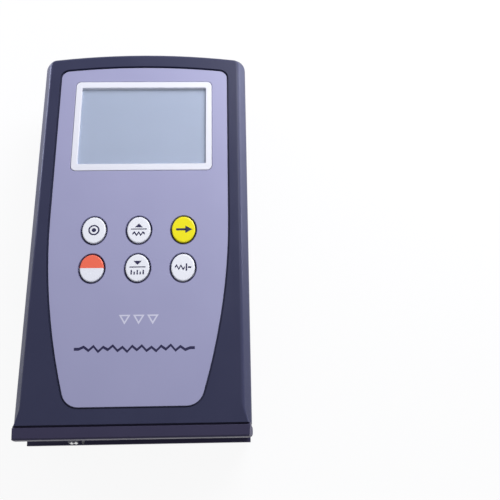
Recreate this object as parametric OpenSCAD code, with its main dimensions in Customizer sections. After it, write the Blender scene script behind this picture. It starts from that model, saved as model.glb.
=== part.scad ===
// Hand-held surface roughness tester, lying on its back.
// X runs across the face, Y from the measuring base to the display end, Z out of the face.
// The origin is the middle of the footprint on the back. All sizes are in millimetres.

/* [Housing] */
// Width of the housing
body_w = 75; // [75:0.5:84]
// Length of the housing, from its lower end to the top of the arch
body_len = 138.15; // [137:0.05:150]
// Thickness from the back to the front face
body_t = 34; // [34:0.5:40]
// Wall thickness of the covers
wall = 2.2; // [1.9:0.1:2.4]
// Radius of the arched top end
arch_r = 260; // [180:5:500]
// Corner radius beside the arch
corner_r = 4.6; // [3:0.1:9]
// Width of the bevel round the front face
bevel_w = 2.7; // [2:0.1:3]
// Depth of the bevel round the front face
bevel_d = 4; // [3:0.1:4.5]
// Length over which the front bevel narrows at the lower end
run_out = 6; // [4:0.5:12]
// Width that is left of the bevel at the lower end
run_end = 0.9; // [0.5:0.1:1.8]
// Width of the bevel round the back
back_bevel_w = 2.5; // [1:0.1:3]
// Depth of the bevel round the back
back_bevel_d = 3; // [2:0.1:4]
// Height of the parting line above the back
parting_z = 17; // [16:0.5:18]
// Height of the lap between the covers
lap_h = 1.5; // [1:0.1:2.5]
// Thickness of the lap between the covers
lap_t = 1; // [0.8:0.1:1.2]
// Clearance between fitted mouldings
fit_gap = 0.15; // [0.1:0.05:0.25]

/* [Face panel] */
// Width of the panel above its taper
panel_w = 61; // [59:0.5:64]
// Thickness of the panel
panel_t = 0.5; // [0.3:0.05:0.7]
// Depth of the recess that takes the panel
recess_d = 0.8; // [0.7:0.05:1]
// Gap between the panel and its recess
panel_gap = 0.6; // [0.15:0.05:0.8]
// Margin from the ends of the front face to the panel
panel_margin = 5.3; // [4:0.1:7]
// Radius of the curved taper at the lower sides
taper_r = 220; // [180:5:400]
// Distance from the lower end of the housing to where the taper starts
taper_start = 69; // [50:1:80]
// Upper corner radius of the panel
panel_r_top = 3; // [1.5:0.1:6]
// Lower corner radius of the panel
panel_r_low = 5.5; // [3:0.5:9]

/* [Display] */
// Distance from the top end to the middle of the display
display_drop = 32.35; // [31.5:0.05:34]
// Width of the display frame
bezel_w = 49.8; // [46:0.1:51]
// Height of the display frame
bezel_h = 36.4; // [34:0.1:38]
// Thickness of the display frame
bezel_t = 0.6; // [0.5:0.05:0.9]
// Corner radius of the display frame
bezel_r = 1.8; // [1:0.1:4]
// Width of the frame's sides
bezel_side = 2.15; // [1.8:0.05:3]
// Height of the frame's upper and lower bands
bezel_band = 2.55; // [1.8:0.05:3]
// Thickness of the clear window
window_t = 0.5; // [0.4:0.05:1.4]
// How far the window reaches under the frame
window_lap = 1; // [0.6:0.1:1.4]
// Gap between the window and the display cell
cell_gap = 0.1; // [0.05:0.05:0.9]
// Thickness of the display cell
lcd_t = 2.8; // [1.8:0.1:3.2]
// Thickness of the light guide
light_t = 4.8; // [2.5:0.1:5.5]
// How far the cell reaches past the clear opening
lcd_lap = 0.9; // [0.5:0.05:2.5]

/* [Keys] */
// Width of a key cap
key_w = 7.95; // [6:0.05:9]
// Height of a key cap
key_h = 9.5; // [7:0.05:10.5]
// Spacing of the key columns
key_pitch_x = 15.25; // [13:0.05:16]
// Spacing of the key rows
key_pitch_y = 13.7; // [12.5:0.1:14.5]
// Distance from the middle of the display to the upper key row
key_drop = 41; // [37:0.5:42]
// Running clearance round a key cap
key_gap = 0.22; // [0.15:0.01:0.3]
// Width of the ring that shows round a key cap
key_ring = 0.55; // [0.4:0.05:0.8]
// How far a key cap stands above the front face
key_proud = 0.05; // [0:0.05:0.6]
// Height of the crown of a key cap
key_crown = 0.2; // [0.1:0.05:0.6]
// Travel of a key
key_travel = 0.5; // [0.3:0.05:0.6]
// Width of the flange that holds a key in
key_flange = 0.8; // [0.5:0.1:1.1]
// Thickness of that flange
key_flange_t = 0.9; // [0.6:0.1:1.1]
// Diameter of the key's plunger
key_stem_d = 3; // [2:0.1:4]
// Side of a tact switch
switch_side = 6; // [4.5:0.5:7]

/* [Circuit board] */
// Thickness of the board
board_t = 1.6; // [1:0.2:2]
// Width of the board
board_w = 55; // [53:0.5:55.5]
// Margin of the board at the top end
board_margin = 8.4; // [8:0.1:9]
// Distance from the lower key row to the lower edge of the board
board_tail = 8.35; // [8:0.05:9]
// Diameter of the board posts
board_post_d = 5; // [4:0.1:5]
// Distance of the board posts from the board's edges
board_post_in = 4; // [3:0.1:4.5]
// Distance of the upper and lower posts from the board's ends
board_post_end = 2.5; // [2.5:0.1:2.8]

/* [Measuring base] */
// Gap that shows as a seam between housing and base
seam_gap = 0.65; // [0.4:0.05:1]
// Depth of the seam
seam_depth = 0.9; // [0.5:0.1:1.4]
// Height of the base under the seam
base_h = 3.7; // [3.4:0.1:5]
// How far the front bar stands out past the housing's sides
bar_out = 0.25; // [0.2:0.05:1]
// Thickness of the front bar
bar_t = 4.5; // [4:0.1:5.5]
// End radius of the front bar
bar_r = 1.3; // [0.5:0.1:1.7]
// Chamfer at the front corners of the bar's ends
bar_end = 0.8; // [0.3:0.1:1.5]
// Chamfer along the bar's lower front edge
bar_chamfer = 0.4; // [0.2:0.1:1]
// Width of the channel between bar and rail
channel_w = 16; // [14:0.5:17]
// Depth of the channel
channel_d = 2.5; // [1.5:0.1:2.6]
// Width of the rear rail
rail_w = 74.8; // [72:0.1:75]
// Set-back of the rear rail from the back
rail_back = 0.4; // [0:0.1:1]
// Width of the flat land on the rear rail
rail_land = 1.5; // [1:0.1:3]
// How far the rear rail slopes away behind its land
rail_relief = 2.2; // [1.4:0.1:2.4]
// Height of the plug inside the housing
plug_h = 2.75; // [1.5:0.05:3]
// Wall of the plug
plug_t = 1.5; // [1:0.1:2]

/* [Pickup] */
// Stylus travel along the base
travel = 17.5; // [10:0.5:18]
// Place of the stylus at the start of its travel
stylus_x = -17.3; // [-18:0.1:-15]
// Distance of the pickup's plane behind the front face
pickup_depth = 13.5; // [12:0.1:13.5]
// Height of the pickup's axis above the base plane
pickup_h = 8.5; // [8.2:0.1:9.2]
// Diameter of the pickup tube
tube_d = 6; // [5.4:0.1:6.2]
// Bore of the pickup tube
tube_bore = 4.6; // [4.5:0.1:4.8]
// How far the stylus reaches past the base plane
stylus_out = 0.5; // [0.1:0.05:0.5]
// Diameter of the stylus shank
shank_d = 0.7; // [0.5:0.05:0.9]
// Distance from the stylus to its pivot
lever_len = 11.3; // [10.5:0.1:12]
// Diameter of the pivot pin
pivot_d = 0.8; // [0.6:0.05:1]
// Radial clearance of the pivot
pivot_gap = 0.05; // [0.03:0.01:0.08]
// Width of one lobe of the skid
lobe_w = 1.2; // [0.9:0.05:1.2]
// Depth of the skid across the channel
skid_depth = 4; // [2:0.1:4.4]
// How far the skid stands proud of the base plane
skid_out = 0.2; // [0:0.05:0.3]
// Clearance of the pickup in its slot
slot_gap = 0.8; // [0.4:0.1:1.2]

/* [Drive] */
// Length of the carriage along the travel
carriage_len = 12; // [9:0.5:12]
// Diameter of the lead screw
screw_d = 4; // [3.5:0.1:4.5]
// Diameter of the lead screw's journals
journal_d = 3; // [2.5:0.1:3.2]
// Diameter of the guide rods
rod_d = 3; // [2:0.1:3.2]
// Radial running clearance of rods, nut and bushes
run_gap = 0.04; // [0.02:0.01:0.08]
// Outer diameter of the bushes
bush_d = 5.5; // [5:0.1:6]
// Thickness of the chassis end plates
plate_t = 2; // [1.5:0.1:2.4]
// Thickness of the chassis back and foot
sheet_t = 1.2; // [0.8:0.1:1.6]
// Tooth module of the gear pair
gear_m = 0.5; // [0.45:0.01:0.52]
// Teeth of the screw's gear
gear_z = 30; // [26:2:32]
// Teeth of the motor's pinion
pinion_z = 14; // [13:1:16]
// Face width of the gears
gear_w = 2.2; // [1.5:0.1:2.4]
// Diameter of the motor
motor_d = 12; // [10:0.1:12]
// Width of the motor across its flats
motor_flat = 10; // [8:0.1:10]
// Length of the motor
motor_len = 22; // [15:0.5:25]
// Diameter of the motor's shaft
shaft_d = 1.5; // [1:0.1:2]

/* [Battery] */
// Diameter of a cell
cell_d = 10.5; // [10:0.1:10.5]
// Length of a cell with its tip
cell_len = 44.5; // [43:0.1:45]
// Spacing of the cells
cell_pitch = 11.2; // [10.8:0.1:11.4]
// Length of a contact spring
spring_len = 4; // [3:0.1:5]
// Thickness of the contact plates
contact_t = 0.4; // [0.2:0.1:0.6]
// Wall of the battery bay
bay_wall = 1.6; // [1.2:0.1:2]
// Distance from the lower end of the housing to the bay
bay_start = 29.25; // [29:0.05:32]
// Thickness of the battery door
door_t = 1.8; // [1.4:0.1:2]
// How far the door reaches past the bay
door_lap = 2.4; // [1.8:0.1:2.8]
// Travel of the door before it lifts off
door_travel = 6; // [5:0.5:6]
// Width of the door's tongues
tongue_w = 1.5; // [1:0.1:1.8]
// Gap round the door
door_gap = 0.2; // [0.15:0.05:0.4]

/* [Fasteners] */
// Diameter of the case screws
case_screw_d = 2.4; // [2:0.1:2.6]
// Diameter of the posts for the case screws
case_post_d = 6.5; // [6:0.1:6.8]
// Distance of the case screws from the housing's sides
case_screw_in = 6.2; // [6:0.1:6.4]
// Distance of the upper case screws from the top end
case_screw_top = 14.4; // [13:0.1:30]
// Distance of the lower case screws from the lower end
case_screw_low = 42.75; // [40:0.05:50]
// Diameter of the base screws
base_screw_d = 2; // [1.6:0.1:2.2]
// Diameter of the board and chassis screws
small_screw_d = 1.7; // [1.4:0.1:2]

/* [Hidden] */
$fn = 48;
// Smallest overlap that joins shapes, and overrun of cuts
eps = 0.5;
// Clearance that keeps seated round pieces apart
seat = 0.02;

z_front = body_t;
z_recess = z_front - recess_d;
z_in = z_front - wall;
z_bevel = z_front - bevel_d;
z_step = z_bevel - 1;
step_in = wall + bevel_w - eps;
low_in = wall + 1;
z_low = back_bevel_d + 2;
floor_t = wall;

total_len = body_len + seam_gap + base_h + stylus_out;
y_tip = -total_len / 2;
y_base = y_tip + stylus_out;
y_flange = y_base + base_h;
y_end = y_flange + seam_gap;
y_top = y_end + body_len;

half_w = body_w / 2;
arch_y = y_top - arch_r;

y_disp = y_top - display_drop;
window_w = bezel_w - 2 * bezel_side;
window_h = bezel_h - 2 * bezel_band;
pane_w = window_w + 2 * window_lap;
pane_h = window_h + 2 * window_lap;
lcd_w = window_w + 2 * lcd_lap;
lcd_h = window_h + 2 * lcd_lap;
z_pane = z_recess - window_t;
z_lcd = z_pane - cell_gap - lcd_t;
z_board = z_lcd - light_t;

y_key1 = y_disp - key_drop;
y_key2 = y_key1 - key_pitch_y;
z_key = z_front + key_proud;
key_play = 0.3;
z_flange = z_in - key_play;
z_stem = z_flange - key_flange_t - 1.5;
z_switch = z_stem - key_travel - 0.1;

y_board0 = y_key2 - board_tail;
y_board1 = y_top - board_margin;
chip_side = 14;
chip_t = 1.3;
board_posts = [for (x = [-1, 1], y = [y_board0 + board_post_end, y_board1 - board_post_end])
    [x * (board_w / 2 - board_post_in), y]];

x_case = half_w - case_screw_in;
case_points = [for (x = [-1, 1], y = [y_end + case_screw_low, y_top - case_screw_top]) [x * x_case, y]];
case_head_d = 2 * case_screw_d - 0.2;
case_head_h = 1.8;
case_well_d = case_head_d + 0.8;
case_seat_z = 8;
case_grip = 5;

bar_x1 = half_w + bar_out;
z_channel1 = z_front - bar_t;
z_channel0 = z_channel1 - channel_w;
seam_side = seam_depth / 3;
plug_x = half_w - wall - fit_gap;
plug_z0 = 9.5;
plug_z1 = z_step - fit_gap;
base_screw_x = half_w - 4.2;
base_screw_z = 6.2;
base_head_d = 2 * base_screw_d;
base_head_h = 1.3;
base_seat = y_base + rail_relief + base_head_h / 2;
base_boss = base_screw_d + 2.2;
base_boss_len = 8;
base_boss_z1 = plug_z0 - 0.3;

z_pick = z_front - pickup_depth;
y_pick = y_base + pickup_h;
y_skid = y_base - skid_out;
pivot_x = stylus_x + lever_len;
nose_len = 6.7;
carriage_start = 15.3;
tube_x0 = stylus_x - nose_len;
car_x0 = stylus_x + carriage_start;
car_x1 = car_x0 + carriage_len;
skid_gap = 1.6;
skid_len = 3.7;
skid_x1 = stylus_x - skid_gap;
skid_x0 = skid_x1 - skid_len;
lobe_x = [skid_x1 - 0.64 * skid_len, skid_x1 - 0.275 * skid_len];
slot_x0 = skid_x0 - 2 * slot_gap;
slot_x1 = stylus_x + travel + shank_d / 2 + 2 * slot_gap;
slot_z = skid_depth / 2 + slot_gap;

screw_rise = 10.6;
screw_drop = 1;
rod_low = 5.2;
rod_high = 4.8;
rod_lift = 5;
rod_wall = 1.4;
nut_wall = 2.3;
y_screw = y_pick + screw_rise;
z_screw = z_pick - screw_drop;
rod_points = [[y_screw - rod_low, z_screw + rod_lift], [y_screw + rod_high, z_screw + rod_lift]];
car_y0 = rod_points[0][0] - rod_d / 2 - rod_wall;
car_y1 = rod_points[1][0] + rod_d / 2 + rod_wall - 0.5;
car_z0 = z_screw - screw_d / 2 - nut_wall;
car_z1 = rod_points[0][1] + rod_d / 2 + rod_wall;
hold_y = y_pick - tube_d / 2 - 0.6;
hold_z = tube_d / 2 + 0.9;

gear_room = 3.9;
gear_x0 = half_w - wall - gear_room;
chassis_x = gear_x0 - 0.4;
plate_x = chassis_x - plate_t;
screw_play = 0.2;
pitch_gear = gear_m * gear_z / 2;
pitch_pinion = gear_m * pinion_z / 2;
gear_slack = 0.05;
gear_dist = pitch_gear + pitch_pinion + gear_slack;
z_motor = z_screw - gear_dist;
motor_x = plate_x - motor_len;
chassis_y0 = car_y0 - 0.4;
chassis_back = 9;
foot_gap = 6;
foot_reach = 5;
foot_hole_in = 3;
foot_hole_out = 4;
foot_hole_y = 2;
chassis_y1 = y_screw + chassis_back;
foot_z = 10;
foot_x1 = car_x0 - foot_gap;
foot_y0 = y_screw - foot_reach;
foot_points = [[-plate_x + foot_hole_in, y_screw + foot_hole_y],
    [foot_x1 - foot_hole_out, y_screw + foot_hole_y]];
small_head_d = 2 * small_screw_d + 0.2;
small_head_h = 1.2;
small_grip = 4;

door_z = 0.3;
z_ledge = door_z + door_t + 0.1;
ledge_t = 1.5;
cell_z = door_z + door_t + door_gap + cell_d / 2;
bay_y0 = y_end + bay_start;
bay_len = cell_len + spring_len + 2 * contact_t + 0.7;
bay_y1 = bay_y0 + bay_len;
bay_w = 3 * cell_pitch + cell_d + 1.1;
bay_z1 = cell_z + cell_d / 2 + 0.4;
door_x = bay_w / 2 + door_lap - door_gap;
door_y0 = bay_y0 - door_lap;
door_y1 = bay_y1 + door_lap + 1;
tongue_len = door_travel - 0.5;
tongue_t = 0.9;
tongue_end = 16;
// The lower tongues stay below the wells of the case screws
tongue_y = [case_points[0][1] - case_well_d / 2 - bay_wall - tongue_len - door_gap,
    door_y1 - tongue_end];

// Points on an arc of a circle, from angle a0 to angle a1
function arc(c, r, a0, a1, n) = [for (i = [0:n]) let (a = a0 + (a1 - a0) * i / n) c + r * [cos(a), sin(a)]];

// The same points mirrored to the left side, in the order that closes the outline
function mirrored(points) = [for (i = [len(points) - 1:-1:0]) [-points[i][0], points[i][1]]];

// Half of an outline that has a corner under an arch, moved in by g with a small corner left
function arched_side(half, corner, top, big_r, g) =
    let (r = max(corner, g + 0.2),
        yc = top - big_r,
        cx = half - r,
        cy = yc + sqrt(pow(big_r - r, 2) - cx * cx),
        a = atan2(cy - yc, cx))
    concat(arc([cx, cy], r - g, 0, a, 8), [for (p = arc([0, yc], big_r - g, a, 90, 6)) if (p[0] > 0.01) p]);

// Outline of the housing, moved in by g, with its lower end at y0
function outline(g, y0) =
    let (side = concat([[half_w - g, y0]], arched_side(half_w, corner_r, y_top, arch_r, g)))
    concat(side, [[0, y_top - g]], mirrored([for (i = [1:len(side) - 1]) side[i]]), [[-(half_w - g), y0]]);

// Outline of the face panel, moved in by g
function panel_outline(g) =
    let (half = panel_w / 2,
        top = y_top - bevel_w - panel_margin,
        low = y_end + panel_margin,
        ys = y_end + taper_start,
        cy = low + panel_r_low,
        cx = half - taper_r + sqrt(pow(taper_r - panel_r_low, 2) - pow(cy - ys, 2)),
        a = atan2(cy - ys, cx - half + taper_r),
        side = concat(arc([cx, cy], panel_r_low - g, -90, a, 6),
            [for (i = [1:10]) let (t = a - a * i / 10)
                [half - taper_r, ys] + (taper_r - g) * [cos(t), sin(t)]],
            arched_side(half, panel_r_top, top, arch_r, g)))
    concat(side, [[0, top - g]], mirrored(side));

// Rounded rectangle round the origin
function rounded(w, h, r) = concat(
    arc([w / 2 - r, h / 2 - r], r, 0, 90, 6), arc([r - w / 2, h / 2 - r], r, 90, 180, 6),
    arc([r - w / 2, r - h / 2], r, 180, 270, 6), arc([w / 2 - r, r - h / 2], r, 270, 360, 6));

// Oval of a key, moved in by g
function oval(g) = [for (i = [0:39]) [(key_w / 2 - g) * cos(i * 9), (key_h / 2 - g) * sin(i * 9)]];

// End view of the housing, with its sides moved in by s and its front and back by g: points in X and Z
function end_view(s, g) =
    let (w = half_w - s)
    [[w - back_bevel_w, g], [w, back_bevel_d], [w, z_front - g],
        [-w, z_front - g], [-w, back_bevel_d], [back_bevel_w - w, g]];

// Involute tooth wheel: half tooth angle at radius r, then the whole outline
pressure = 25;
function inv(a) = tan(a) * 180 / PI - a;
function tooth_half(z, r) =
    let (rp = gear_m * z / 2, rb = rp * cos(pressure))
    88.2 / z + inv(pressure) - inv(acos(min(1, rb / max(r, rb))));
function wheel(z) =
    let (rp = gear_m * z / 2, r0 = rp - 1.1 * gear_m, r1 = rp + 0.8 * gear_m, n = 4)
    [for (k = [0:z - 1], s = [-1, 1], i = [0:n])
        let (r = r0 + (r1 - r0) * (s < 0 ? i : n - i) / n, a = 360 * k / z + s * tooth_half(z, r))
        r * [cos(a), sin(a)]];

// Solid through stacked outlines with equal numbers of points
module loft(rings, heights) {
    n = len(rings[0]);
    m = len(rings);
    polyhedron(
        points = [for (k = [0:m - 1], p = rings[k]) [p[0], p[1], heights[k]]],
        faces = concat(
            [[for (i = [0:n - 1]) i]],
            [for (k = [0:m - 2], i = [0:n - 1])
                [k * n + i, (k + 1) * n + i, (k + 1) * n + (i + 1) % n, k * n + (i + 1) % n]],
            [[for (i = [n - 1:-1:0]) (m - 1) * n + i]]));
}

// Plate with outline points, between two heights
module slab(points, z0, z1) {
    translate([0, 0, z0]) linear_extrude(z1 - z0) polygon(points);
}

// Box between two corners
module block(a, b) {
    translate(a) cube(b - a);
}

// Round bar along X, at a point in Y and Z
module bar_x(d, x0, x1, y, z) {
    translate([x0, y, z]) rotate([0, 90, 0]) cylinder(d = d, h = x1 - x0);
}

// Round bar along Y, at a point in X and Z
module bar_y(d, y0, y1, x, z) {
    translate([x, y0, z]) rotate([-90, 0, 0]) cylinder(d = d, h = y1 - y0);
}

// Profile in Y and Z, extruded along X
module along_x(points, x0, x1) {
    translate([x0, 0, 0]) rotate([90, 0, 90]) linear_extrude(x1 - x0) polygon(points);
}

// Profile in X and Z, extruded along Y
module along_y(points, y0, y1) {
    translate([0, y1, 0]) rotate([90, 0, 0]) linear_extrude(y1 - y0) polygon(points);
}

// Cross-recessed screw that points up, with its seat at height zero
module screw(d, len, head_d, head_h) {
    difference() {
        union() {
            translate([0, 0, -head_h]) cylinder(d = head_d, h = head_h);
            translate([0, 0, -0.2]) cylinder(d = d, h = len + 0.2);
        }
        for (a = [0, 90])
            rotate(a) translate([-head_d * 0.3, -head_d * 0.08, -head_h - eps])
                cube([head_d * 0.6, head_d * 0.16, head_h * 0.55 + eps]);
    }
}

module front_cover() color("#3c3e55") difference() {
    union() {
        difference() {
            loft([outline(0, y_end), outline(0, y_end), outline(bevel_w, y_end)],
                [parting_z, z_bevel, z_front]);
            slab(outline(wall, y_end - 1), parting_z - 1, z_step);
            slab(outline(step_in, y_end - 1), parting_z - 1, z_in);
            slab(outline(wall - lap_t - fit_gap, y_end - 1), parting_z - 1, parting_z + lap_h + fit_gap);
        }
        // The bevel narrows towards the measuring base
        for (side = [0, 1]) mirror([side, 0, 0])
            slab([[half_w - bevel_w - eps, y_end], [half_w - run_end, y_end],
                [half_w - bevel_w, y_end + run_out], [half_w - bevel_w - eps, y_end + run_out]],
                z_bevel, z_front);
        for (p = case_points)
            translate([p[0], p[1], parting_z]) cylinder(d = case_post_d, h = z_in - parting_z + eps);
        for (p = board_posts)
            translate([p[0], p[1], z_board]) cylinder(d = board_post_d, h = z_in - z_board + eps);
    }
    slab(panel_outline(-panel_gap), z_recess, z_front + 1);
    translate([0, y_disp, 0])
        slab(rounded(pane_w + 2 * fit_gap, pane_h + 2 * fit_gap, fit_gap + 0.6), z_in - 1, z_front);
    // Pocket of the display cell
    translate([0, y_disp, 0])
        slab(rounded(lcd_w + 2 * fit_gap, lcd_h + 2 * fit_gap, fit_gap), z_lcd, z_lcd + lcd_t + fit_gap);
    for (x = [-1:1], y = [y_key1, y_key2])
        translate([x * key_pitch_x, y, 0]) slab(oval(-key_gap), z_in - 1, z_front);
    for (p = case_points)
        translate([p[0], p[1], parting_z - 1]) cylinder(d = case_screw_d + seat, h = case_grip + 2);
    for (p = board_posts)
        translate([p[0], p[1], z_board - 2 * eps])
            cylinder(d = small_screw_d + seat, h = small_grip + 3 * eps);
}

module overlay() color("#a5a6cc") difference() {
    slab(panel_outline(0), z_recess, z_recess + panel_t);
    translate([0, y_disp, 0])
        slab(rounded(bezel_w + 2 * fit_gap, bezel_h + 2 * fit_gap, bezel_r), z_recess - 1, z_front);
    for (x = [-1:1], y = [y_key1, y_key2])
        translate([x * key_pitch_x, y, 0]) slab(oval(-key_ring), z_recess - 1, z_front);
}

module display_bezel() color("#f2f2f6") translate([0, y_disp, 0]) difference() {
    slab(rounded(bezel_w, bezel_h, bezel_r), z_recess, z_recess + bezel_t);
    slab(rounded(window_w, window_h, 0.6), z_recess - 1, z_front);
}

module display_window() color("#dfe8f0", 0.4) translate([0, y_disp, 0])
    slab(rounded(pane_w, pane_h, 0.6), z_pane, z_recess);

module lcd_glass() color("#aab8cc")
    block([-lcd_w / 2, y_disp - lcd_h / 2, z_lcd], [lcd_w / 2, y_disp + lcd_h / 2, z_lcd + lcd_t]);

module lcd_backlight() color("#f0f0ea")
    block([-lcd_w / 2, y_disp - lcd_h / 2, z_board], [lcd_w / 2, y_disp + lcd_h / 2, z_lcd]);

// One key: plunger, holding flange and crowned oval cap
module key(column, row_y, tint) {
    z_cap = z_key - key_crown;
    color(tint) translate([column * key_pitch_x, row_y, 0]) {
        slab(oval(-key_flange), z_flange - key_flange_t, z_flange);
        loft([oval(0), oval(0), oval(0.08), oval(0.2), oval(0.5)],
            [z_flange - eps, z_cap, z_cap + 0.5 * key_crown, z_cap + 0.85 * key_crown, z_key]);
        translate([0, 0, z_stem]) cylinder(d = key_stem_d, h = z_flange - eps - z_stem);
    }
}

module key_calibrate() key(-1, y_key1, "#ecf0f6");

module key_up() key(0, y_key1, "#ecf0f6");

module key_start() key(1, y_key1, "#f9f128");

module key_power() key(-1, y_key2, "#fb725b");

module key_down() key(0, y_key2, "#ecf0f6");

module key_cutoff() key(1, y_key2, "#ecf0f6");

module main_board() color("#1f6b45") difference() {
    block([-board_w / 2, y_board0, z_board - board_t], [board_w / 2, y_board1, z_board]);
    for (p = board_posts)
        translate([p[0], p[1], z_board - board_t - eps])
            cylinder(d = small_screw_d + 0.4, h = board_t + 2 * eps);
}

module board_chips() color("#26262a") {
    z = z_board - board_t;
    half = chip_side / 2;
    small = chip_side / 4;
    block([-half, y_key1 - half, z - chip_t], [half, y_key1 + half, z]);
    block([-key_pitch_x - small, y_key2, z - chip_t], [small - key_pitch_x, y_key2 + half, z]);
    block([key_pitch_x - small, y_key2, z - 2 * chip_t], [key_pitch_x + small, y_key2 + small, z]);
}

module tact_switches() color("#2c2c30") for (x = [-1:1], y = [y_key1, y_key2])
    translate([x * key_pitch_x, y, 0]) {
        block([-switch_side / 2, -switch_side / 2, z_board],
            [switch_side / 2, switch_side / 2, z_switch - 0.5]);
        translate([0, 0, z_switch - 1]) cylinder(d = switch_side * 0.56, h = 1);
    }

module board_screws() color("#b8b8ba") for (p = board_posts)
    translate([p[0], p[1], z_board - board_t])
        screw(small_screw_d, board_t + small_grip, small_head_d, small_head_h);

module rear_cover() color("#3a3b50") difference() {
    union() {
        difference() {
            loft([outline(back_bevel_w, y_end), outline(0, y_end), outline(0, y_end)],
                [0, back_bevel_d, parting_z]);
            slab(outline(low_in, y_end - 1), floor_t, parting_z + 1);
            slab(outline(wall, y_end - 1), z_low, parting_z + 1);
        }
        translate([0, 0, parting_z - eps]) linear_extrude(lap_h + eps) difference() {
            polygon(outline(wall - lap_t, y_end));
            polygon(outline(wall, y_end - 1));
        }
        for (p = case_points)
            translate([p[0], p[1], floor_t - eps]) cylinder(d = case_post_d, h = parting_z - floor_t + eps);
        for (p = foot_points)
            translate([p[0], p[1], floor_t - eps]) cylinder(d = 5, h = foot_z - floor_t + eps);
        block([-door_x - 3.2, door_y0 - door_travel - 2, floor_t - eps],
            [door_x + 3.2, door_y1 + 2, z_ledge + ledge_t]);
        block([-bay_w / 2 - bay_wall, bay_y0 - bay_wall, floor_t],
            [bay_w / 2 + bay_wall, bay_y1 + bay_wall, bay_z1 + bay_wall]);
        for (s = [-1, 1])
            translate([s * base_screw_x, 0, 0])
                block([-base_boss / 2, y_end, floor_t - eps],
                    [base_boss / 2, y_end + base_boss_len, base_boss_z1]);
    }
    // Battery bay, and the sunk seat of its door with the ways of the tongues
    block([-bay_w / 2, bay_y0, -1], [bay_w / 2, bay_y1, bay_z1]);
    block([-door_x - door_gap, door_y0 - door_travel - door_gap, -1],
        [door_x + door_gap, door_y1 + door_gap, z_ledge]);
    for (y = tongue_y) {
        reach = door_x + tongue_w + door_gap;
        z0 = door_z + door_t - tongue_t - 0.1;
        block([-reach, y - door_travel - door_gap, z0], [reach, y + tongue_len + door_gap, z_ledge]);
        block([-reach, y - door_travel - door_gap, -1],
            [reach, y + tongue_len - door_travel + door_gap, z_ledge]);
    }
    for (p = case_points) {
        translate([p[0], p[1], -1]) cylinder(d = case_screw_d + 0.5, h = parting_z + 2);
        translate([p[0], p[1], -1]) cylinder(d = case_well_d, h = case_seat_z + 1);
    }
    for (p = foot_points)
        translate([p[0], p[1], foot_z - small_grip - 2 * eps])
            cylinder(d = small_screw_d + seat, h = small_grip + 4 * eps);
    for (s = [-1, 1])
        bar_y(base_screw_d + seat, y_end - 1, y_end + base_boss_len - 1, s * base_screw_x, base_screw_z);
}

module case_screws() color("#77777c") for (p = case_points)
    translate([p[0], p[1], case_seat_z])
        screw(case_screw_d, parting_z - case_seat_z + case_grip, case_head_d, case_head_h);

module battery_door() color("#3a3b50") difference() {
    union() {
        block([-door_x, door_y0, door_z], [door_x, door_y1, door_z + door_t]);
        for (y = tongue_y)
            block([-door_x - tongue_w, y, door_z + door_t - tongue_t],
                [door_x + tongue_w, y + tongue_len, door_z + door_t]);
    }
    for (i = [0:5])
        block([-9 + i * 0.8, door_y1 - 6 - i * 2, door_z - 1],
            [9 - i * 0.8, door_y1 - 5 - i * 2, door_z + 0.5]);
}

// Contacts at the two ends of each cell: springs on one end, plain plates on the other, in turn
cell_x = [for (i = [0:3]) (i - 1.5) * cell_pitch];
module spring_contact() {
    block([-cell_d * 0.4, 0, -cell_d * 0.4], [cell_d * 0.4, contact_t, cell_d * 0.4]);
    rotate([-90, 0, 0]) rotate_extrude() polygon(concat(
        [[1, contact_t - 0.1], [3.4, contact_t - 0.1]],
        [for (i = [0:9]) [3.3 - i * 0.13 - (i % 2) * 0.5, contact_t + 0.2 + i * (spring_len - 0.3) / 9]],
        [[1.6, contact_t + spring_len], [1, contact_t + spring_len]]));
}

module battery_springs() color("#c9c6bc") for (i = [0:3])
    translate([cell_x[i], i % 2 == 0 ? bay_y0 : bay_y1, cell_z]) mirror([0, i % 2, 0]) spring_contact();

module battery_plates() color("#c9c6bc") for (i = [0:3])
    translate([cell_x[i], i % 2 == 0 ? bay_y1 : bay_y0, cell_z]) mirror([0, 1 - i % 2, 0])
        block([-cell_d * 0.4, 0, -cell_d * 0.4], [cell_d * 0.4, contact_t, cell_d * 0.4]);

// One cell, with its tip towards the plain plate
module cell(i) {
    tip = 0.8;
    translate([cell_x[i], i % 2 == 0 ? bay_y1 : bay_y0, cell_z]) mirror([0, 1 - i % 2, 0])
        rotate([-90, 0, 0]) rotate_extrude() polygon([[0, contact_t + 0.1], [1.9, contact_t + 0.1],
            [1.9, contact_t + 0.1 + tip], [cell_d / 2 - 0.4, contact_t + 0.1 + tip],
            [cell_d / 2, contact_t + 0.5 + tip], [cell_d / 2, contact_t + cell_len - 0.3],
            [cell_d / 2 - 0.4, contact_t + 0.1 + cell_len], [0, contact_t + 0.1 + cell_len]]);
}

module battery_cell_1() color("#8a8f98") cell(0);

module battery_cell_2() color("#8a8f98") cell(1);

module battery_cell_3() color("#8a8f98") cell(2);

module battery_cell_4() color("#8a8f98") cell(3);

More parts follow.
